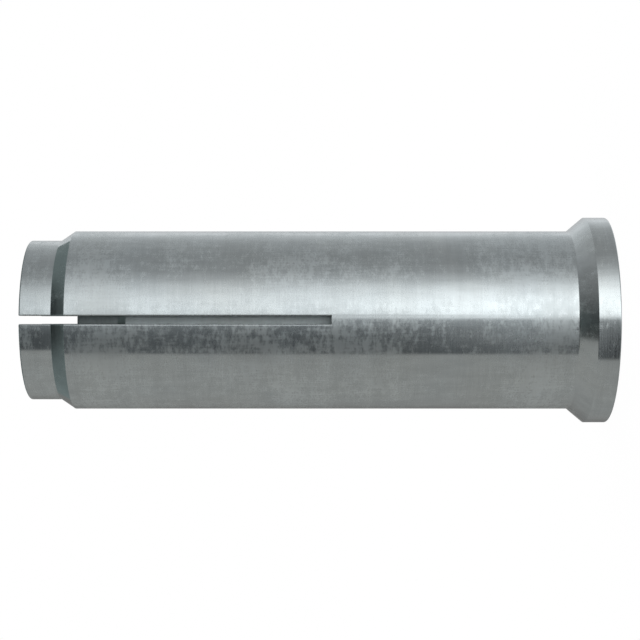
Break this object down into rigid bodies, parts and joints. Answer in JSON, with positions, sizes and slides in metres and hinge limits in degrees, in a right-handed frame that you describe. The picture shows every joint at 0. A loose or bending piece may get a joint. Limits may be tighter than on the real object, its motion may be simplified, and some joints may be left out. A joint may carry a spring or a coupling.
{
  "type": "drop-in anchor",
  "caption": "Steel drop-in anchor: a rimmed, slotted sleeve, tapped inside, with the expander plug seated in its tapered bore.",
  "frame": {"origin": "centre of the rim's outer face, on the axis", "axes": "+Z along the sleeve's axis from the rim's face to the slotted tip, +X and +Y through the middles of two segments, with the saw cuts between them"},
  "size_m": [0.0286, 0.0286, 0.08],
  "materials": {
    "sleeve": "zinc-plated turned steel, satin, with fine marks of the lathe",
    "expander_plug": "zinc-plated turned steel, satin"
  },
  "bodies": {
    "sleeve": {"sleeve": "sleeve"},
    "plug": {"expander_plug": "expander_plug"}
  },
  "joints": [
    {"name": "plug_drive", "type": "slide", "parent": "sleeve", "child": "plug", "axis": [0, 0, 1], "range_m": [0, 0.0073], "deforming": ["sleeve"]}
  ]
}
